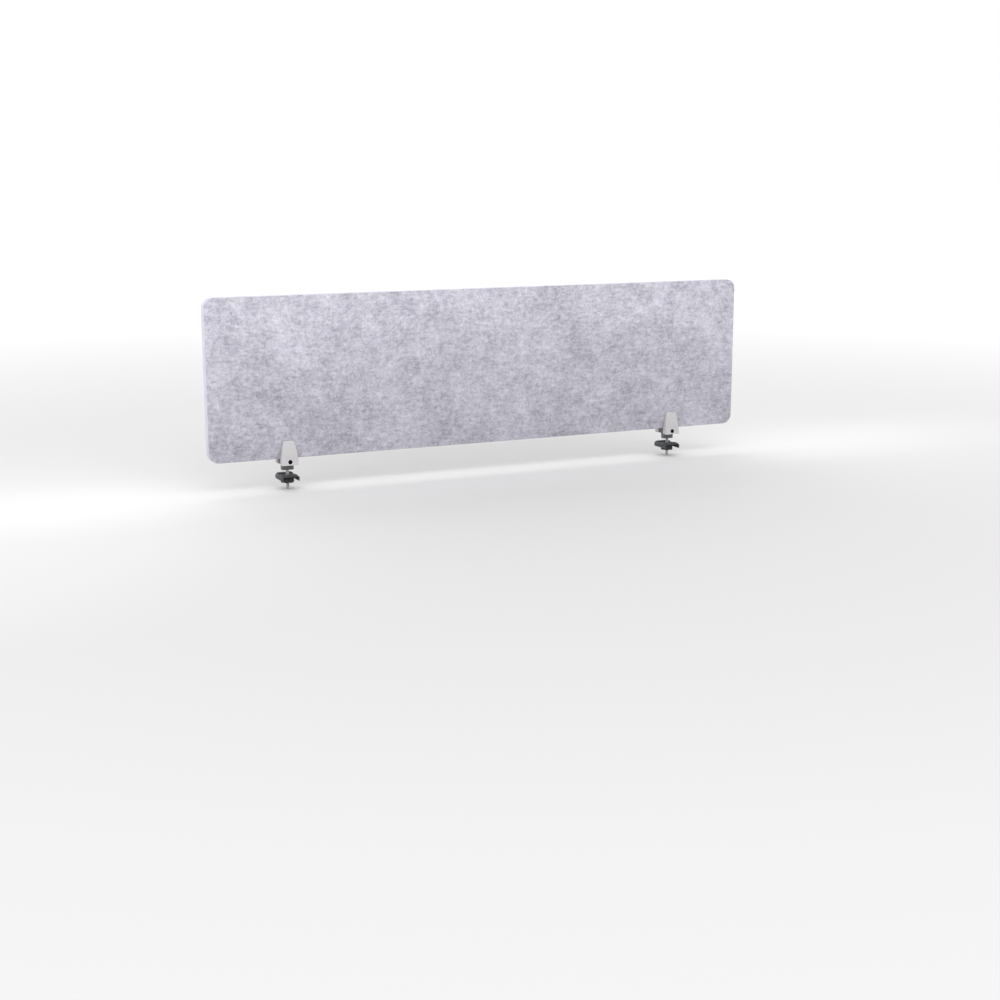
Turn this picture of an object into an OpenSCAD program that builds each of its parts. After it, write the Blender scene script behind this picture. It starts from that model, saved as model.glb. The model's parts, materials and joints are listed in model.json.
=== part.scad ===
// Desk privacy panel: a bonded felt board held over the gap between two back-to-back
// worktops by two two-sided clamp brackets. X runs along the panel, Y across it, Z up.
// The origin lies on the worktops' surface, at the middle of the gap and of the panel.

/* [Panel] */
// Length of the felt board
panel_w = 1490; // [1200:5:1800]
// Height of the felt board
panel_h = 400; // [200:5:600]
// Thickness of the two bonded boards together
panel_t = 24; // [20:1:30]
// Radius of the board's four corners
corner_r = 25; // [5:1:60]
// Height of the board's lower edge above the worktop
panel_lift = 16; // [15:0.5:18]

/* [Brackets] */
// Distance between the two brackets' middles
bracket_pitch = 1092; // [300:1:1100]
// Height of a jaw above the worktop
jaw_h = 60; // [50:1:80]
// Width of a jaw at its foot
jaw_base_w = 42; // [40:1:50]
// Width of a jaw at its tip, before its corners are rounded
jaw_tip_w = 26; // [22:1:30]
// How far a jaw's foot stands out from the board's face
jaw_base_d = 17.5; // [16:0.5:22]
// How far a jaw's tip stands out from the board's face
jaw_tip_d = 7; // [6:0.5:10]
// Radius of the corners and the front edge at a jaw's tip
tip_r = 3; // [2.8:0.1:3.4]
// Wall left round the pocket behind a jaw's grip pad
jaw_wall = 2.4; // [2:0.1:2.6]
// Width of the saddle between the jaws
saddle_w = 35; // [32:1:38]

/* [Worktops] */
// Thickness of the worktops that the bracket is tightened on
worktop_t = 25; // [18:1:30]
// Width across the gap of the tongue that drops between the worktops
tongue_d = 16; // [14:0.5:17]

/* [Fasteners] */
// Diameter of the jaw bolt's shank
bolt_d = 6; // [5:0.5:6]
// Height of the jaw bolt above the worktop
bolt_z = 8.5; // [8.25:0.25:9]
// Diameter of the bolt's and the sleeve nut's heads
head_d = 10.5; // [10:0.1:11]
// Diameter of the stud under the saddle
stud_d = 8; // [6:1:8]
// Length of the stud
stud_l = 62; // [60:1:80]
// Diameter of the knob over its lobes
knob_d = 34; // [30:1:36]

/* [Hidden] */
$fn = 64;
eps = 0.1;                        // how far a cutter runs past the face it opens
fit = 0.05;                       // radial clearance of a thread that turns
snug = 0.02;                      // radial clearance of a piece pressed in for good
slack = 0.4;                      // how much wider a hole is than the pin that slides in it
loose = 0.6;                      // the same, where a fastener only passes through

pad_t = 1;                        // grip pads and the saddle's cushion
pad_inset = 1;                    // how far a grip pad stays inside its jaw's outline
foot_gap = 0.5;                   // light under a jaw, taken up by its foot
foot_t = 1.5;
foot_w = 34;
foot_d = 10;
foot_r = 2;
foot_room = 0.1;                  // gap all round a foot in its pocket

inner_y = panel_t / 2 + pad_t;    // a jaw's inner face, out from the middle plane
foot_y = inner_y + 6.5;           // a foot's middle
base_y = panel_t / 2 + jaw_base_d;
tip_y = panel_t / 2 + jaw_tip_d;
jaw_lean = atan((base_y - tip_y) / jaw_h);

waist_z = 5;                      // height at which a jaw's curved sides are upright
side_r = (pow(jaw_h - waist_z, 2) + pow((jaw_base_w - jaw_tip_w) / 2, 2))
    / (jaw_base_w - jaw_tip_w);
side_x = side_r - jaw_base_w / 2; // how far each side's arc centre lies past the middle
tip_z = jaw_h - tip_r;            // centre height of the rounded tip corners
tip_a = asin((tip_z - waist_z) / (side_r - tip_r));
tip_x = (side_r - tip_r) * cos(tip_a) - side_x;

pocket_z = 20;                    // floor of the pocket behind the grip pad
pocket_floor = 2.6;               // wall between the pocket and the jaw's front face
rib_w = 2;

head_h = 3.1;
head_rim = 2.4;                   // height of a head's upright rim
head_flat = 3.6;                  // radius of the flat round its socket
head_drop = head_h - head_rim;
shoulder_r = (pow(head_drop, 2) + pow(head_d / 2 - head_flat, 2)) / (2 * head_drop);
seat_y = base_y - 5;              // where both heads bear, out from the middle plane
recess_d = head_d + loose;
socket_af = 4;
socket_deep = 2.1;
bolt_l = 40;
barrel_d = 8;
barrel_l = 20;
barrel_bore_l = 17;

peg_d = 4;
peg_x = 12;
peg_l = 5;

saddle_z = panel_lift - pad_t;
cushion_inset = 0.5;
cushion_r = 1.5;
tongue_w = 30;
tongue_l = 14;
tongue_r = 3;
stud_tip = 1;                     // chamfer at the stud's lower end
insert_d = 11;
insert_top = 2;

clamp_pad_t = 2;
clamp_pad_r = 2;
clamp_w = 44;
clamp_d = 60;
plate_t = 3;
lip_h = 9;
bend_r = 4;
plate_top = -worktop_t - clamp_pad_t;
clamp_pad_in = tongue_d / 2 + 3;  // the two edges of a clamp pad, out from the middle plane
clamp_pad_out = clamp_d / 2 - 1;
washer_t = 1.6;
washer_d = 16;
knob_gap = 0.2;
knob_top = plate_top - plate_t - washer_t - knob_gap;
collar_h = 3;
collar_d = washer_d + 1;
grip_h = 11;
lobes = 6;
lobe_r = 6.5;
knob_core_d = knob_d - 7;         // the round body that the lobes stand out from
knob_insert_d = 12;

// ---- helpers ----

// Points of an arc about c, from angle a0 to a1.
function arc(c, r, a0, a1, n = 8) =
    [for (i = [0:n]) c + r * [cos(a0 + (a1 - a0) * i / n), sin(a0 + (a1 - a0) * i / n)]];

module at_left() { translate([-bracket_pitch / 2, 0, 0]) children(); }
module at_right() { translate([bracket_pitch / 2, 0, 0]) children(); }
module rear() { mirror([0, 1, 0]) children(); }

// A flat outline drawn in X and Z, from y = y0 out towards the user at y = -y1.
module upright(y0, y1) {
    translate([0, -y0, 0]) rotate([90, 0, 0]) linear_extrude(y1 - y0) children();
}

// A bore or a pin along Y, from y = -y0 to y = -y1.
module along_y(d, y0, y1) {
    translate([0, -y0, 0]) rotate([90, 0, 0]) cylinder(d = d, h = y1 - y0);
}

// A hexagonal bore along Y, given across its flats.
module hex_along_y(af, y0, y1) {
    translate([0, -y0, 0]) rotate([90, 0, 0]) cylinder(d = af / cos(30), h = y1 - y0, $fn = 6);
}

module round_rect(w, h, r) {
    translate([-w / 2 + r, -h / 2]) square([w - 2 * r, h]);
    translate([-w / 2, -h / 2 + r]) square([w, h - 2 * r]);
    for (x = [-1, 1], y = [-1, 1])
        translate([x * (w / 2 - r), y * (h / 2 - r)]) circle(r = r);
}

// ---- felt panel ----

module board_outline() {
    translate([0, panel_lift + panel_h / 2]) round_rect(panel_w, panel_h, corner_r);
}

module front_board() { color("#c6c4cf") upright(0, panel_t / 2) board_outline(); }
module rear_board() { color("#c9c7d2") rear() upright(0, panel_t / 2) board_outline(); }

// ---- jaws ----

// The jaw seen from the front: two convex sides and two rounded tip corners, drawn in by inset.
module jaw_outline(inset = 0) {
    intersection() {
        translate([-side_x, waist_z]) circle(r = side_r - inset, $fn = 360);
        translate([side_x, waist_z]) circle(r = side_r - inset, $fn = 360);
        union() {
            translate([-jaw_base_w, 0])
                square([2 * jaw_base_w, tip_z + (tip_r - inset) * sin(tip_a)]);
            translate([-tip_x, 0]) square([2 * tip_x, jaw_h - inset]);
            for (x = [-1, 1]) translate([x * tip_x, tip_z]) circle(r = tip_r - inset);
        }
    }
}

// The jaw seen from the side, as distance out from the middle plane and height.
module jaw_profile() {
    edge_y = (base_y * cos(jaw_lean) - tip_r - tip_z * sin(jaw_lean)) / cos(jaw_lean);
    polygon(concat(
        [[inner_y, foot_gap], [base_y - foot_gap * tan(jaw_lean), foot_gap]],
        arc([edge_y, tip_z], tip_r, jaw_lean, 90),
        [[inner_y, jaw_h]]
    ));
}

// The same view of the pocket behind the grip pad.
module pocket_profile() {
    front_y = base_y - pocket_floor / cos(jaw_lean);
    polygon([
        [inner_y - eps, pocket_z],
        [front_y - pocket_z * tan(jaw_lean), pocket_z],
        [front_y - (jaw_h - jaw_wall) * tan(jaw_lean), jaw_h - jaw_wall],
        [inner_y - eps, jaw_h - jaw_wall]
    ]);
}

// Turns a side view into a solid that is w wide.
module side_view(w) {
    translate([w / 2, 0, 0]) rotate([90, 0, -90]) linear_extrude(w) children();
}

module jaw_pocket() {
    difference() {
        intersection() {
            upright(inner_y - eps, base_y) jaw_outline(jaw_wall);
            side_view(jaw_base_w) pocket_profile();
        }
        translate([-rib_w / 2, -base_y, pocket_z]) cube([rib_w, base_y, jaw_h]);
    }
}

// A jaw as it stands in front of the panel, with a hole of the given diameter for its fastener.
module jaw(hole_d) {
    difference() {
        intersection() {
            upright(inner_y, base_y) jaw_outline();
            side_view(jaw_base_w + 2) jaw_profile();
        }
        jaw_pocket();
        translate([0, 0, bolt_z]) {
            along_y(hole_d, inner_y - eps, base_y);
            along_y(recess_d, seat_y, base_y);
            for (x = [-1, 1])
                translate([x * peg_x, 0, 0])
                    along_y(peg_d + slack, inner_y - eps, inner_y + peg_l);
        }
        translate([0, -foot_y, foot_gap - eps])
            linear_extrude(foot_t - foot_gap + eps) round_rect(foot_w, foot_d, foot_r);
    }
}

module grip_pad() {
    upright(panel_t / 2, inner_y)
        intersection() {
            jaw_outline(pad_inset);
            translate([-jaw_base_w, panel_lift + pad_inset]) square([2 * jaw_base_w, jaw_h]);
        }
}

module foot() {
    translate([0, -foot_y, 0]) linear_extrude(foot_t)
        round_rect(foot_w - 2 * foot_room, foot_d - 2 * foot_room, foot_r - foot_room);
}

module front_jaw() { color("#d9d8d6") jaw(bolt_d + loose); }
module rear_jaw() { color("#d9d8d6") rear() jaw(barrel_d + slack); }
module front_pad() { color("#5a5c60") grip_pad(); }
module rear_pad() { color("#5a5c60") rear() grip_pad(); }
module front_foot() { color("#8d8f92") foot(); }
module rear_foot() { color("#8d8f92") rear() foot(); }

// ---- saddle under the panel ----

module saddle() {
    color("#55585c") difference() {
        union() {
            translate([-saddle_w / 2, -panel_t / 2, foot_gap])
                cube([saddle_w, panel_t, saddle_z - foot_gap]);
            translate([0, 0, -tongue_l])
                linear_extrude(tongue_l + 1) round_rect(tongue_w, tongue_d, tongue_r);
            for (x = [-1, 1])
                translate([x * peg_x, 0, bolt_z])
                    along_y(peg_d, -panel_t / 2 - peg_l, panel_t / 2 + peg_l);
        }
        translate([0, 0, bolt_z])
            along_y(barrel_d + slack, -panel_t / 2 - eps, panel_t / 2 + eps);
        translate([0, 0, -tongue_l - eps])
            cylinder(d = insert_d + 2 * snug, h = tongue_l + insert_top + eps);
    }
}

module saddle_pad() {
    color("#3c3e41") translate([0, 0, saddle_z])
        linear_extrude(pad_t)
            round_rect(saddle_w - 2 * cushion_inset, panel_t - 2 * cushion_inset, cushion_r);
}

// ---- bolt and sleeve nut that draw the jaws together ----

// A low round-shouldered head on the seat, its hexagonal socket open towards the user.
module socket_head() {
    rim_a = asin(min(1, (head_d / 2 - head_flat) / shoulder_r));
    difference() {
        translate([0, -seat_y, 0]) rotate([90, 0, 0])
            rotate_extrude()
                polygon(concat(
                    [[0, 0], [head_d / 2, 0]],
                    arc([head_flat, head_h - shoulder_r], shoulder_r, 90 - rim_a, 90),
                    [[0, head_h]]
                ));
        hex_along_y(socket_af, seat_y + head_h - socket_deep, seat_y + head_h + eps);
    }
}

module jaw_bolt() {
    color("#141414") translate([0, 0, bolt_z]) {
        socket_head();
        along_y(bolt_d, seat_y - bolt_l, seat_y + eps);
    }
}

module sleeve_nut() {
    color("#141414") rear() translate([0, 0, bolt_z]) {
        socket_head();
        difference() {
            along_y(barrel_d, seat_y - barrel_l, seat_y + eps);
            along_y(bolt_d + 2 * fit, seat_y - barrel_l - eps, seat_y - barrel_l + barrel_bore_l);
        }
    }
}

// ---- clamp under the worktops ----

module stud_insert() {
    color("#b8923e") translate([0, 0, -tongue_l]) difference() {
        cylinder(d = insert_d, h = tongue_l + insert_top);
        translate([0, 0, -eps]) cylinder(d = stud_d + 2 * snug, h = tongue_l + eps);
    }
}

module stud() {
    color("#a9abad") translate([0, 0, -stud_l]) {
        translate([0, 0, stud_tip]) cylinder(d = stud_d, h = stud_l - stud_tip);
        cylinder(d1 = stud_d - 2 * stud_tip, d2 = stud_d, h = stud_tip);
    }
}

// A steel channel with two lips turned down, seen along Y.
module plate_section() {
    difference() {
        union() {
            translate([-clamp_w / 2 + bend_r, -bend_r]) square([clamp_w - 2 * bend_r, bend_r]);
            translate([-clamp_w / 2, -lip_h - plate_t])
                square([clamp_w, lip_h + plate_t - bend_r]);
            for (x = [-1, 1]) translate([x * (clamp_w / 2 - bend_r), -bend_r]) circle(r = bend_r);
        }
        translate([-clamp_w / 2 + plate_t, -lip_h - plate_t - eps])
            square([clamp_w - 2 * plate_t, lip_h + eps]);
    }
}

module clamp_plate() {
    color("#2c2d2f") difference() {
        translate([0, 0, plate_top]) upright(-clamp_d / 2, clamp_d / 2) plate_section();
        translate([0, 0, plate_top - plate_t - eps])
            cylinder(d = stud_d + loose, h = plate_t + 2 * eps);
    }
}

module clamp_pads() {
    color("#3c3e41") for (y = [-1, 1])
        translate([0, y * (clamp_pad_in + clamp_pad_out) / 2, plate_top])
            linear_extrude(clamp_pad_t)
                round_rect(clamp_w - 2 * bend_r, clamp_pad_out - clamp_pad_in, clamp_pad_r);
}

module washer() {
    color("#b4b6b8") translate([0, 0, plate_top - plate_t - washer_t]) difference() {
        cylinder(d = washer_d, h = washer_t);
        translate([0, 0, -eps]) cylinder(d = stud_d + loose, h = washer_t + 2 * eps);
    }
}

// A lobed hand grip with a collar that bears on the washer.
module knob() {
    color("#1d1e20") difference() {
        union() {
            translate([0, 0, knob_top - collar_h]) cylinder(d = collar_d, h = collar_h);
            translate([0, 0, knob_top - collar_h - grip_h]) linear_extrude(grip_h) {
                circle(d = knob_core_d);
                for (i = [0:lobes - 1])
                    rotate(i * 360 / lobes) translate([knob_d / 2 - lobe_r, 0]) circle(r = lobe_r);
            }
        }
        translate([0, 0, knob_top - collar_h - grip_h - eps])
            cylinder(d = knob_insert_d + 2 * snug, h = collar_h + grip_h + 2 * eps);
    }
}

module knob_insert() {
    color("#b8923e") translate([0, 0, knob_top - collar_h - grip_h]) difference() {
        cylinder(d = knob_insert_d, h = collar_h + grip_h);
        translate([0, 0, -eps])
            cylinder(d = stud_d + 2 * fit, h = collar_h + grip_h + 2 * eps);
    }
}

// ---- nodes ----

front_board();
rear_board();

at_left() front_jaw();  // left_front_jaw
at_left() rear_jaw();  // left_rear_jaw
at_left() front_pad();  // left_front_pad
at_left() rear_pad();  // left_rear_pad
at_left() front_foot();  // left_front_foot
at_left() rear_foot();  // left_rear_foot
at_left() saddle();  // left_saddle
at_left() saddle_pad();  // left_saddle_pad
at_left() jaw_bolt();  // left_jaw_bolt
at_left() sleeve_nut();  // left_sleeve_nut
at_left() stud_insert();  // left_stud_insert
at_left() stud();  // left_stud
at_left() clamp_plate();  // left_clamp_plate
at_left() clamp_pads();  // left_clamp_pads
at_left() washer();  // left_washer
at_left() knob();  // left_knob
at_left() knob_insert();  // left_knob_insert

at_right() front_jaw();  // right_front_jaw
at_right() rear_jaw();  // right_rear_jaw
at_right() front_pad();  // right_front_pad
at_right() rear_pad();  // right_rear_pad
at_right() front_foot();  // right_front_foot
at_right() rear_foot();  // right_rear_foot
at_right() saddle();  // right_saddle
at_right() saddle_pad();  // right_saddle_pad
at_right() jaw_bolt();  // right_jaw_bolt
at_right() sleeve_nut();  // right_sleeve_nut
at_right() stud_insert();  // right_stud_insert
at_right() stud();  // right_stud
at_right() clamp_plate();  // right_clamp_plate
at_right() clamp_pads();  // right_clamp_pads
at_right() washer();  // right_washer
at_right() knob();  // right_knob
at_right() knob_insert();  // right_knob_insert
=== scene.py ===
"""Looks of the desk privacy panel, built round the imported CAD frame. Lengths are in metres."""
import json
import math

import bmesh
import bpy
import numpy as np
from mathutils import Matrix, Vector


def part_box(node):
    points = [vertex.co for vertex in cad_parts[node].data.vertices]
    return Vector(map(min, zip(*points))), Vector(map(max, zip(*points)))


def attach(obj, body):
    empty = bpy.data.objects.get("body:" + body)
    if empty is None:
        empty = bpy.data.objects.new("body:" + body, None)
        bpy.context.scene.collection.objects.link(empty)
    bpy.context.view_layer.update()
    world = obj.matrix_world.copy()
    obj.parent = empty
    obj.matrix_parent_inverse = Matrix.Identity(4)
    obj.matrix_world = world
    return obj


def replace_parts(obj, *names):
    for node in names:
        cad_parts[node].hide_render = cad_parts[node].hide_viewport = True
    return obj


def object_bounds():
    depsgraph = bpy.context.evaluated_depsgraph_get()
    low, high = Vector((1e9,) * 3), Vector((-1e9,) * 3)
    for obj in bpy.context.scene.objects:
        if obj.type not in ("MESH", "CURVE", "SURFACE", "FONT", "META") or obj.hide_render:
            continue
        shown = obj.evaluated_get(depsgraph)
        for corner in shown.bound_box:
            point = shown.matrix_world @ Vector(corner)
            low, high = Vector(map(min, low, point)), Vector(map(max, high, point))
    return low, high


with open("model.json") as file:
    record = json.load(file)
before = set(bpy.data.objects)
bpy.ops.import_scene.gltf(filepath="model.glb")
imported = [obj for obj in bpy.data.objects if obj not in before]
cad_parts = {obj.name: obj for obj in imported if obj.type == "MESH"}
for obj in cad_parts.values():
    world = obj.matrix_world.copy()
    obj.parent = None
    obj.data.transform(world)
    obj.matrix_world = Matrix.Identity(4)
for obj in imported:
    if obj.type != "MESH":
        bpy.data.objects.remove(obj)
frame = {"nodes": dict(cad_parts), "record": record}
CAD_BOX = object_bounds()
MM = 0.001
SIDES = ("left", "right")

# ---- camera, floor and light ----

CAMERA_AT = (-1.705, -3.722, 0.728)
CAMERA_PITCH = 11.983    # degrees below level
CAMERA_YAW = 25.074      # degrees turned from +Y towards +X
CAMERA_LENS = 57.09
FLOOR_HALF = 40.0
FLOOR_GAP = 0.5 * MM     # how far the floor lies below the studs
FLOOR_WHITE_AT = 5.0     # metres from the origin
CEILING_LIGHT = {"at": (-0.5, -0.6, 3.0), "power": 0.5, "angle": 70}
SOFT_BOXES = {
    "front_strip": {"at": (-0.1, -0.46, 0.58), "aim": (-0.1, 0, 0.40),
                    "width": 3.0, "height": 0.25, "power": 2.95, "spread": 110},
    "rear_strip": {"at": (0.1, 0.48, 0.58), "aim": (0.1, 0, 0.38),
                   "width": 3.2, "height": 0.25, "power": 2.2, "spread": 110},
    "side_light": {"at": (-1.9, -0.75, 0.55), "aim": (-0.75, 0, 0.42),
                   "width": 0.9, "height": 0.9, "power": 1.6, "spread": 90},
}


def make_camera():
    data = bpy.data.cameras.new("view_camera")
    data.lens = CAMERA_LENS
    data.sensor_width = 36.0
    camera = bpy.data.objects.new("view_camera", data)
    camera.location = CAMERA_AT
    camera.rotation_euler = (math.radians(90 - CAMERA_PITCH), 0, math.radians(-CAMERA_YAW))
    bpy.context.scene.collection.objects.link(camera)
    bpy.context.scene.camera = camera


def hang_light(name, data, at, aim):
    """Puts a light at a place, facing a point."""
    light = bpy.data.objects.new(name, data)
    light.location = at
    light.rotation_euler = (Vector(aim) - Vector(at)).to_track_quat("-Z", "Y").to_euler()
    bpy.context.scene.collection.objects.link(light)
    return light


def soft_box(name, at, aim, width, height, power, spread):
    """A rectangular area light that no camera sees, with a beam spread degrees wide."""
    data = bpy.data.lights.new(name, "AREA")
    data.spread = math.radians(spread)
    data.shape = "RECTANGLE"
    data.size = width
    data.size_y = height
    data.energy = power
    hang_light(name, data, at, aim).visible_camera = False


def soft_sun(name, at, power, angle):
    """Even light on the whole floor, aimed at the origin, with wide soft shadows."""
    data = bpy.data.lights.new(name, "SUN")
    data.energy = power
    data.angle = math.radians(angle)
    hang_light(name, data, at, (0, 0, 0))


def make_lights():
    world = bpy.data.worlds.new("studio")
    world.use_nodes = True
    sky = world.node_tree.nodes["Background"]
    sky.inputs["Color"].default_value = (1.0, 1.0, 1.0, 1.0)
    sky.inputs["Strength"].default_value = 1.0
    bpy.context.scene.world = world
    bpy.context.scene.view_settings.view_transform = "Standard"
    soft_sun("ceiling_light", **CEILING_LIGHT)
    for name, settings in SOFT_BOXES.items():
        soft_box(name, **settings)


def make_floor():
    low = CAD_BOX[0].z - FLOOR_GAP
    corners = [(x * FLOOR_HALF, y * FLOOR_HALF, low)
               for x, y in ((-1, -1), (1, -1), (1, 1), (-1, 1))]
    mesh = bpy.data.meshes.new("floor")
    mesh.from_pydata(corners, [], [(0, 1, 2, 3)])
    floor = bpy.data.objects.new("floor", mesh)
    bpy.context.scene.collection.objects.link(floor)
    floor.data.materials.append(floor_material())


# ---- shader helpers ----

MIX_A, MIX_B, MIX_RESULT = 6, 7, 2     # the colour sockets of a Mix node


class Shader:
    """A material's node tree, with short calls for the nodes used here."""

    def __init__(self, name):
        self.material = bpy.data.materials.new(name)
        self.material.use_nodes = True
        self.tree = self.material.node_tree
        self.surface = self.tree.nodes["Principled BSDF"]
        self.place = self.tree.nodes.new("ShaderNodeTexCoord").outputs["Object"]

    def node(self, kind, **settings):
        made = self.tree.nodes.new("ShaderNode" + kind)
        for key, value in settings.items():
            setattr(made, key, value)
        return made

    def feed(self, socket, value):
        """Sets a socket to a number or colour, or links it to another socket."""
        if isinstance(value, bpy.types.NodeSocket):
            self.tree.links.new(value, socket)
        else:
            socket.default_value = value

    def set(self, **values):
        """Sets Principled sockets: base_color=... stands for Base Color."""
        names = {socket.name.lower().replace(" ", "_"): socket for socket in self.surface.inputs}
        for key, value in values.items():
            self.feed(names[key], value)

    def scaled(self, scale, turn=(0, 0, 0)):
        """The object's coordinates, turned by degrees and then multiplied by scale."""
        made = self.node("Mapping", vector_type="TEXTURE")
        self.feed(made.inputs["Vector"], self.place)
        made.inputs["Scale"].default_value = [1 / factor for factor in scale]
        made.inputs["Rotation"].default_value = [math.radians(a) for a in turn]
        return made.outputs["Vector"]

    def noise(self, size, detail=2.0, rough=0.5, vector=None, seed=0.0, curl=0.0):
        """Noise from 0 to 1 whose largest blots are about size metres, bent by curl."""
        made = self.node("TexNoise", noise_dimensions="4D")
        self.feed(made.inputs["Vector"], vector or self.place)
        made.inputs["W"].default_value = seed
        made.inputs["Scale"].default_value = 1 / size
        made.inputs["Detail"].default_value = detail
        made.inputs["Roughness"].default_value = rough
        made.inputs["Distortion"].default_value = curl
        return made.outputs["Fac"]

    def math(self, operation, a, b=0.0):
        made = self.node("Math", operation=operation)
        self.feed(made.inputs[0], a)
        self.feed(made.inputs[1], b)
        return made.outputs[0]

    def ramp(self, fac, *stops):
        """A colour ramp; each stop is (position, (r, g, b)) or (position, grey)."""
        made = self.node("ValToRGB")
        bar = made.color_ramp.elements
        while len(bar) < len(stops):
            bar.new(0.5)
        for element, (position, colour) in zip(bar, stops, strict=True):
            element.position = position
            rgb = colour if isinstance(colour, tuple) else (colour,) * 3
            element.color = (*rgb, 1)
        self.feed(made.inputs["Fac"], fac)
        return made.outputs["Color"]

    def mix(self, fac, a, b, blend="MIX"):
        made = self.node("Mix", data_type="RGBA", blend_type=blend)
        self.feed(made.inputs["Factor"], fac)
        self.feed(made.inputs[MIX_A], a if isinstance(a, bpy.types.NodeSocket) else (*a, 1))
        self.feed(made.inputs[MIX_B], b if isinstance(b, bpy.types.NodeSocket) else (*b, 1))
        return made.outputs[MIX_RESULT]

    def bump(self, height, depth, strength, below=None):
        """Bump of the given depth in metres, on top of another bump if there is one."""
        made = self.node("Bump")
        made.inputs["Strength"].default_value = strength
        made.inputs["Distance"].default_value = depth
        self.feed(made.inputs["Height"], height)
        if below is not None:
            self.feed(made.inputs["Normal"], below)
        return made.outputs["Normal"]


def srgb(r, g, b):
    """A colour given as 0 to 255 display values."""
    def linear(v):
        v /= 255
        return v / 12.92 if v <= 0.04045 else ((v + 0.055) / 1.055) ** 2.4
    return tuple(linear(v) for v in (r, g, b))


# ---- materials ----

def floor_material():
    """A pale floor with painted shade: darker round the object, where the lights fall strongest,
    and growing white far from it.
    """
    s = Shader("studio_floor")
    reach = s.node("VectorMath", operation="LENGTH")
    s.feed(reach.inputs[0], s.place)
    far = s.math("MULTIPLY", reach.outputs["Value"], 1 / FLOOR_WHITE_AT)
    # Painted shade: this colour ramp darkens the floor near the object, like a soft shadow round
    # it.
    s.set(base_color=s.ramp(far, (0.06, 0.65), (0.20, 0.69), (0.30, 0.71), (0.42, 0.75),
                              (1.0, 0.95)),
          roughness=0.8, specular_ior_level=0.2)
    return s.material


def fibre_lines(s, width, seeds):
    """Dark where fine curled fibres lie, in three directions; white between them."""
    lines = None
    for turn, seed in zip((72, -56, 18), seeds, strict=True):
        line = s.noise(width, 2, 0.5, s.scaled((1, 1, 0.12), (0, turn, 0)), seed, curl=0.2)
        line = s.math("ABSOLUTE", s.math("SUBTRACT", line, 0.5))
        lines = line if lines is None else s.math("MINIMUM", lines, line)
    return s.math("POWER", lines, 0.5)


def felt_material():
    """Needled polyester felt: mottled grey, crossed by fine fibres, with paler cut edges, partly
    the cut felt's own colour and partly a painted highlight.
    """
    s = Shader("felt")
    mottle = s.noise(0.014, 3, 0.75, seed=7)
    flecks = s.noise(0.0048, 2, 0.7, seed=11)
    streaks = s.noise(0.006, 2, 0.65, s.scaled((0.28, 1, 1)), 13)
    layers = ((s.noise(0.15, 2, 0.5), 0.13), (s.noise(0.045, 3, 0.7, seed=3), 0.22),
              (mottle, 0.22), (flecks, 0.25), (streaks, 0.18))
    total = 0.0
    for layer, share in layers:
        total = s.math("ADD", total, s.math("MULTIPLY", layer, share))
    tone = s.ramp(total, (0.385, srgb(116, 115, 123)), (0.45, srgb(143, 142, 151)),
                  (0.51, srgb(166, 165, 174)), (0.595, srgb(193, 192, 201)))
    tint = s.ramp(s.noise(0.02, 2, 0.6, seed=17),
                  (0.38, (0.985, 0.975, 1.0)), (0.62, (1.0, 0.997, 0.993)))
    tone = s.mix(1.0, tone, tint, "MULTIPLY")

    pale_lines = fibre_lines(s, 0.0011, (21, 22, 23))
    dark_lines = fibre_lines(s, 0.0014, (41, 42, 43))
    pale = s.ramp(pale_lines, (0.03, 1.0), (0.20, 0.0))
    dark = s.ramp(dark_lines, (0.03, 1.0), (0.17, 0.0))
    tone = s.mix(s.math("MULTIPLY", dark, 0.26), tone, srgb(120, 118, 130))
    tone = s.mix(s.math("MULTIPLY", pale, 0.32), tone, srgb(216, 214, 224))

    normal = s.node("NewGeometry").outputs["Normal"]
    parts = s.node("SeparateXYZ")
    s.feed(parts.inputs[0], normal)
    flat = s.math("ABSOLUTE", parts.outputs["Y"])
    # Partly painted highlight: the cut edges get a paler colour than the face, which also stands in
    # for the light falling on the end faces.
    edge = s.ramp(flat, (0.25, 1.0), (0.8, 0.0))
    plies = s.noise(0.0016, 2, 0.6, s.scaled((0.08, 1, 0.08)), 31)
    cut = s.ramp(plies, (0.35, srgb(184, 181, 196)), (0.65, srgb(200, 197, 212)))
    s.set(base_color=s.mix(edge, tone, cut), roughness=0.93, specular_ior_level=0.25,
          sheen_weight=0.12, sheen_roughness=0.5)

    relief = s.bump(mottle, 0.5 * MM, 0.35)
    relief = s.bump(flecks, 0.3 * MM, 0.5, relief)
    s.set(normal=s.bump(pale_lines, 0.25 * MM, 0.6, relief))
    return s.material


def paint_material(name, tone, gloss, wear_and_highlight_tone, grain=0.25, shine=0.5):
    """Powder coat: a faint orange peel, slow tone changes, and convex edges paler, partly rubbed
    wear and partly a painted edge highlight.
    """
    s = Shader(name)
    drift = s.noise(0.02, 3, 0.6)
    peel = s.noise(0.0012, 2, 0.5, seed=5)
    dark = tuple(c * 0.93 for c in tone)
    colour = s.mix(s.ramp(drift, (0.35, 0.0), (0.65, 1.0)), dark, tone)
    # Partly painted highlight: convex edges are mixed towards the paler edge tone, which also
    # stands for rubbed wear.
    wear_and_highlight_mask = s.ramp(s.node("NewGeometry").outputs["Pointiness"], (0.53, 0.0), (0.62, 1.0))
    colour = s.mix(s.math("MULTIPLY", wear_and_highlight_mask, 0.35), colour, wear_and_highlight_tone)
    rough = s.math("ADD", s.math("MULTIPLY", drift, 0.16), gloss - 0.08)
    s.set(base_color=colour, roughness=rough, specular_ior_level=shine,
          normal=s.bump(peel, 0.05 * MM, grain))
    return s.material


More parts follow.
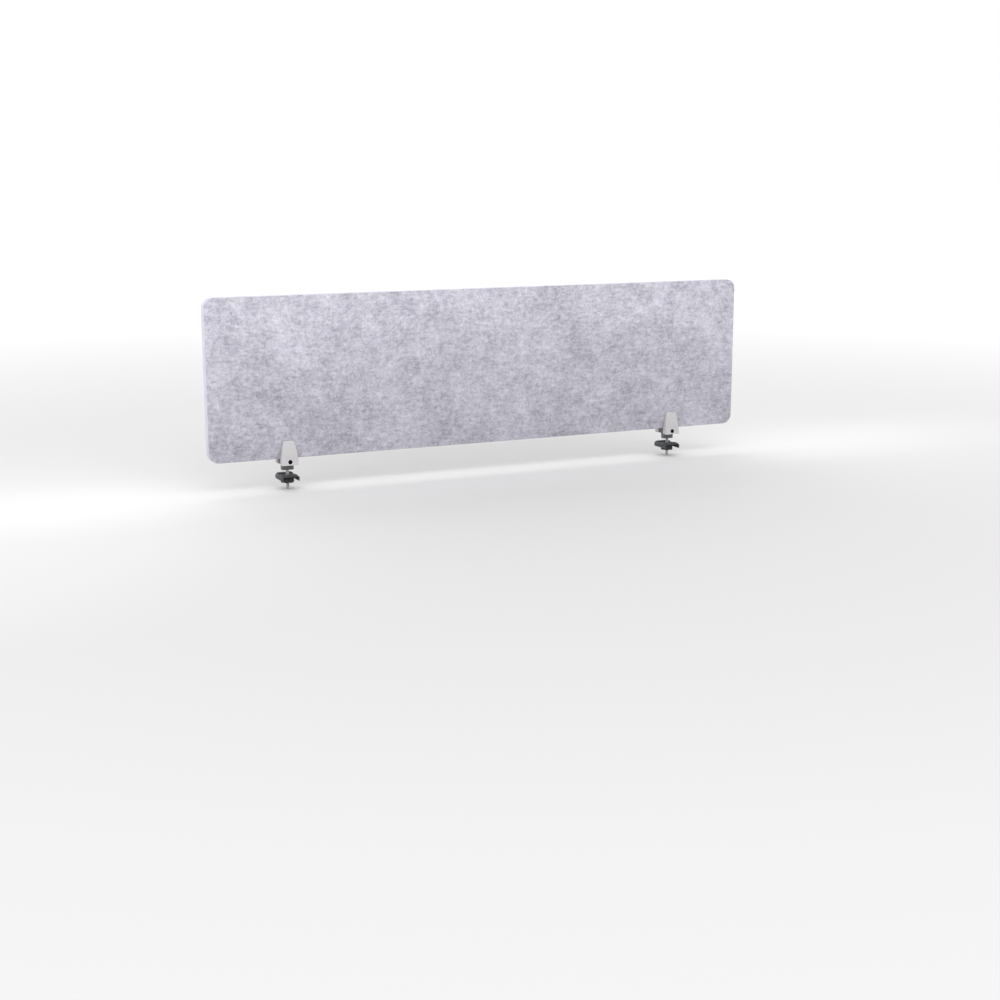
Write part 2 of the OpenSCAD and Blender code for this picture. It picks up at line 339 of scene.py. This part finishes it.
def metal_material(name, tone, rough, brushed):
    """Bare or plated metal, with fine turned lines across the axis."""
    s = Shader(name)
    stain = s.noise(0.008, 4, 0.65)
    lines = s.noise(0.0004, 1, 0.5, s.scaled(brushed), 9)
    dull = tuple(c * 0.72 for c in tone)
    s.set(base_color=s.mix(s.ramp(stain, (0.35, 0.0), (0.7, 1.0)), dull, tone),
          metallic=1.0,
          roughness=s.math("ADD", s.math("MULTIPLY", lines, 0.18), rough - 0.05),
          normal=s.bump(lines, 0.03 * MM, 0.4))
    return s.material


def plastic_material(name, tone, rough):
    """Moulded plastic with a spark-eroded grain."""
    s = Shader(name)
    grain = s.noise(0.0008, 2, 0.6)
    flow = s.noise(0.03, 2, 0.5, seed=4)
    lighter = tuple(min(1, c * 1.18 + 0.004) for c in tone)
    s.set(base_color=s.mix(flow, tone, lighter),
          roughness=s.math("ADD", s.math("MULTIPLY", grain, 0.2), rough - 0.1),
          normal=s.bump(grain, 0.06 * MM, 0.5))
    return s.material


def rubber_material(name, tone):
    """Moulded rubber with dust in its fine grain."""
    s = Shader(name)
    grain = s.noise(0.0007, 3, 0.7)
    dust = s.noise(0.006, 4, 0.7, seed=8)
    dusty = tuple(c * 1.5 + 0.02 for c in tone)
    s.set(base_color=s.mix(s.ramp(dust, (0.45, 0.0), (0.75, 0.7)), tone, dusty), roughness=0.85,
          normal=s.bump(grain, 0.08 * MM, 0.6))
    return s.material


def make_materials():
    """The material of each slot in the record."""
    return {
        "felt": felt_material(),
        # The third colour of each paint is its paler edge tone: partly rubbed wear and partly a
        # painted edge highlight.
        "jaw_paint": paint_material("jaw_paint", srgb(180, 177, 180), 0.45, srgb(198, 196, 197)),
        "grip_rubber": rubber_material("grip_rubber", srgb(58, 58, 60)),
        "foot_rubber": rubber_material("foot_rubber", srgb(150, 150, 152)),
        "saddle_nylon": plastic_material("saddle_nylon", srgb(92, 93, 95), 0.55),
        "black_steel": paint_material("black_steel", srgb(5, 5, 6), 0.5, srgb(30, 29, 28),
                                      shine=0.1),
        "brass": metal_material("brass", srgb(214, 178, 98), 0.32, (1, 1, 6)),
        "zinc_steel": metal_material("zinc_steel", srgb(206, 208, 210), 0.34, (1, 1, 8)),
        "plate_paint": paint_material("plate_paint", srgb(46, 47, 49), 0.5, srgb(120, 120, 122),
                                      grain=0.5),
        "knob_plastic": plastic_material("knob_plastic", srgb(30, 31, 33), 0.5),
    }


# ---- mesh helpers ----

WELD_WITHIN = 0.002 * MM
SHARP_ANGLE = 30         # an edge that turns by more degrees than this is rounded


def new_piece(name, points, faces, body, slot):
    """A mesh object that rides on a body and wears the slot's material."""
    mesh = bpy.data.meshes.new(name)
    mesh.from_pydata(points, [], faces)
    mesh.validate()
    tidy = bmesh.new()
    tidy.from_mesh(mesh)
    bmesh.ops.recalc_face_normals(tidy, faces=tidy.faces)
    tidy.to_mesh(mesh)
    tidy.free()
    mesh.polygons.foreach_set("use_smooth", [True] * len(mesh.polygons))
    piece = bpy.data.objects.new(name, mesh)
    bpy.context.scene.collection.objects.link(piece)
    mesh.materials.append(MATERIALS[slot])
    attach(piece, body)
    return piece


def soften(name, radius, segments):
    """Rounds a CAD node's sharp edges with modifiers, which leave its own mesh as it is."""
    node = frame["nodes"][name]
    node.data.polygons.foreach_set("use_smooth", [True] * len(node.data.polygons))
    weld = node.modifiers.new("weld", "WELD")
    weld.merge_threshold = WELD_WITHIN
    bevel = node.modifiers.new("round_edges", "BEVEL")
    bevel.width = radius
    bevel.segments = segments
    bevel.limit_method = "ANGLE"
    bevel.angle_limit = math.radians(SHARP_ANGLE)
    bevel.harden_normals = True


# ---- felt boards ----

GRID_STEP = 3 * MM
CORNER_R = 25 * MM       # the board's rounded corners
CORNER_STEPS = 10        # grid columns round a corner
EDGE_R = 1.2 * MM        # how far the felt's pressed face rolls over at a cut edge
ROLL_ANGLES = (22, 45, 68, 90)     # where loops lie on that roll, in degrees
WALL_LEVELS = (0.7, 0.45, 0.2)     # loops across a cut edge, as shares of its width
SEAM = 0.35 * MM         # half width of the groove where the two boards meet
FRINGE = 0.06            # roughness of a cut edge, in millimetres
DENTS = ((40, 0.10), (9, 0.07), (2.5, 0.05))     # cells across a dent, and its millimetres
GRAIN = 0.03             # roughness of the pressed face, in millimetres


def cloud(shape, spacing, rng):
    """Smooth random heights on a grid of the given shape, with bumps about spacing cells wide."""
    rows, columns = (int(n / spacing) + 4 for n in shape)
    coarse = rng.standard_normal((rows, columns))
    z = np.arange(shape[0])[:, None] / spacing
    x = np.arange(shape[1])[None, :] / spacing
    zi, xi = z.astype(int), x.astype(int)
    zf, xf = z - zi, x - xi
    zf, xf = zf * zf * (3 - 2 * zf), xf * xf * (3 - 2 * xf)
    low = coarse[zi, xi] * (1 - xf) + coarse[zi, xi + 1] * xf
    high = coarse[zi + 1, xi] * (1 - xf) + coarse[zi + 1, xi + 1] * xf
    return low * (1 - zf) + high * zf


def board_columns(half_w):
    """X places of the grid's columns, closer together round the corners."""
    straight = half_w - CORNER_R
    middle = np.linspace(-straight, straight, int(2 * straight / GRID_STEP))
    turns = np.linspace(0, math.pi / 2, CORNER_STEPS + 1)[1:]
    end = straight + CORNER_R * np.sin(turns)
    return np.concatenate([-end[::-1], middle, end])


def pressed_in(shape, rng):
    """How far each grid point of a pressed face lies in: broad dents, small ones and grain."""
    relief = sum(height * cloud(shape, spacing, rng) for spacing, height in DENTS)
    return np.abs(relief + GRAIN * rng.standard_normal(shape)) * MM


def outline(n_row, n_col):
    """The grid's outer (row, column) places, in order round the board."""
    return ([(0, c) for c in range(n_col)] + [(r, n_col - 1) for r in range(1, n_row)]
            + [(n_row - 1, c) for c in range(n_col - 2, -1, -1)]
            + [(r, 0) for r in range(n_row - 2, 0, -1)])


def outward(x, z):
    """Unit directions that point out of a closed outline."""
    along_x = np.roll(x, -1) - np.roll(x, 1)
    along_z = np.roll(z, -1) - np.roll(z, 1)
    length = np.hypot(along_x, along_z)
    return along_z / length, -along_x / length


def rim_profile(thick):
    """Loops from the pressed face to the bond, each as (how far in, how far from the bond)."""
    turns = [math.radians(angle) for angle in ROLL_ANGLES]
    rolled = [(EDGE_R * (1 - math.sin(t)), thick - EDGE_R * (1 - math.cos(t))) for t in turns]
    wall = [(0, thick * level) for level in WALL_LEVELS]
    groove = [(0, SEAM * 1.5), (SEAM * 0.6, SEAM * 0.5), (SEAM * 1.5, 0)]
    return rolled + wall + groove


def band(a, b):
    """Quads between two closed loops with as many points each."""
    n = len(a)
    return [(a[i], a[(i + 1) % n], b[(i + 1) % n], b[i]) for i in range(n)]


def bonded_side(loop, n_row, n_col):
    """The flat side: strips from the loop's lower run to its upper one, and the two ends."""
    lower = loop[:n_col]
    upper = loop[n_col + n_row - 2:2 * n_col + n_row - 2][::-1]
    right = loop[n_col - 1:n_col + n_row - 1]
    left = [loop[0]] + loop[:-(n_row - 1):-1] + [upper[0]]
    strips = [(lower[c], lower[c + 1], upper[c + 1], upper[c]) for c in range(1, n_col - 2)]
    return strips + [(lower[-2], *right, upper[-2]), (lower[1], *left, upper[1])]


def felt_board(name, node, sign, seed):
    """One 12 mm board: a faintly uneven pressed face, rolled edges and a groove at the bond."""
    low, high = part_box(node)
    half_w, half_h = (high.x - low.x) / 2, (high.z - low.z) / 2
    mid_z, thick = (high.z + low.z) / 2, high.y - low.y
    rng = np.random.default_rng(seed)
    columns = board_columns(half_w)
    rows = np.linspace(-1, 1, int(2 * half_h / GRID_STEP))
    over = np.clip(np.abs(columns) - (half_w - CORNER_R), 0, CORNER_R)
    reach = half_h - CORNER_R + np.sqrt(CORNER_R ** 2 - over ** 2)
    shape = n_row, n_col = len(rows), len(columns)
    x = np.broadcast_to(columns, shape)
    z = mid_z + rows[:, None] * reach

    # The face stops short of the outline by the edge's radius; rims carry it round and back.
    face_x = x * ((half_w - EDGE_R) / half_w)
    face_y = sign * (thick - pressed_in(shape, rng))
    face_z = mid_z + (z - mid_z) * ((half_h - EDGE_R) / half_h)
    points = list(zip(face_x.ravel(), face_y.ravel(), face_z.ravel(), strict=True))
    faces = [(r * n_col + c, r * n_col + c + 1, (r + 1) * n_col + c + 1, (r + 1) * n_col + c)
             for r in range(n_row - 1) for c in range(n_col - 1)]

    ring = outline(n_row, n_col)
    ring_x, ring_z = (np.array([grid[place] for place in ring]) for grid in (x, z))
    out_x, out_z = outward(ring_x, ring_z)
    fringe = np.abs(FRINGE * MM * rng.standard_normal(len(ring)))
    loop = [r * n_col + c for r, c in ring]
    for back, depth in rim_profile(thick):
        start = len(points)
        points += [(px, sign * depth, pz) for px, pz in zip(ring_x - out_x * (back + fringe),
                                                            ring_z - out_z * (back + fringe),
                                                            strict=True)]
        rim = list(range(start, len(points)))
        faces += band(loop, rim)
        loop = rim
    faces += bonded_side(loop, n_row, n_col)
    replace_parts(new_piece(name, points, faces, "panel", "felt"), node)


# ---- threads ----

STUD_PITCH = 1.25 * MM
THREAD_DEPTH = 0.55      # share of the pitch
THREAD_SLOPE = 2.7       # how steeply the flanks fall; the root is flat between them
ROD_TIP = 1.0 * MM       # chamfer at the lower end
ROD_SIDES = 32
RINGS_TO_A_PITCH = 8


def threaded_rod(name, node, body, pitch, slot):
    """A rod with a helical thread, chamfered below, in place of a plain CAD cylinder along Z."""
    low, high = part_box(node)
    centre_x, centre_y = (low.x + high.x) / 2, (low.y + high.y) / 2
    radius, length = (high.x - low.x) / 2, high.z - low.z
    levels = int(length / pitch * RINGS_TO_A_PITCH)
    points, faces = [], []
    for level in range(levels + 1):
        z = low.z + length * level / levels
        for step in range(ROD_SIDES):
            phase = (z / pitch - step / ROD_SIDES) % 1.0
            rise = THREAD_SLOPE * (0.5 - abs(phase - 0.5))
            groove = THREAD_DEPTH * pitch * min(1.0, max(0.0, rise))
            r = min(radius - groove, radius - ROD_TIP + (z - low.z))
            angle = 2 * math.pi * step / ROD_SIDES
            points.append((centre_x + r * math.cos(angle), centre_y + r * math.sin(angle), z))
    rings = [[level * ROD_SIDES + step for step in range(ROD_SIDES)] for level in range(levels + 1)]
    for lower, upper in zip(rings, rings[1:]):
        faces += band(lower, upper)
    faces += [tuple(rings[0][::-1]), tuple(rings[-1])]
    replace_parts(new_piece(name, points, faces, body, slot), node)


# ---- the object ----

# CAD part: the radius of its rounded edges, and their segments
ROUNDED = {
    "front_jaw": (0.9 * MM, 3), "rear_jaw": (0.9 * MM, 3),
    "front_pad": (0.25 * MM, 2), "rear_pad": (0.25 * MM, 2),
    "front_foot": (0.25 * MM, 2), "rear_foot": (0.25 * MM, 2),
    "saddle": (0.5 * MM, 3), "saddle_pad": (0.25 * MM, 2),
    "jaw_bolt": (0.2 * MM, 2), "sleeve_nut": (0.2 * MM, 2),
    "clamp_plate": (0.4 * MM, 3), "clamp_pads": (0.25 * MM, 2), "washer": (0.25 * MM, 2),
    "knob": (1.4 * MM, 4), "knob_insert": (0.3 * MM, 2), "stud_insert": (0.3 * MM, 2),
}


def dress_cad_nodes():
    """Gives every CAD node its material, and rounds the edges of the ones that stay in view."""
    for row in frame["record"]["subparts"]:
        node = frame["nodes"][row["node"]]
        node.data.materials.clear()
        node.data.materials.append(MATERIALS[row["material_slot"]])
    for side in SIDES:
        for part, (radius, segments) in ROUNDED.items():
            soften(f"{side}_{part}", radius, segments)


make_camera()
make_lights()
make_floor()
MATERIALS = make_materials()
dress_cad_nodes()
felt_board("front_felt", "front_board", -1, 11)
felt_board("rear_felt", "rear_board", 1, 12)
for side in SIDES:
    threaded_rod(f"{side}_threaded_stud", f"{side}_stud", "panel", STUD_PITCH, "zinc_steel")
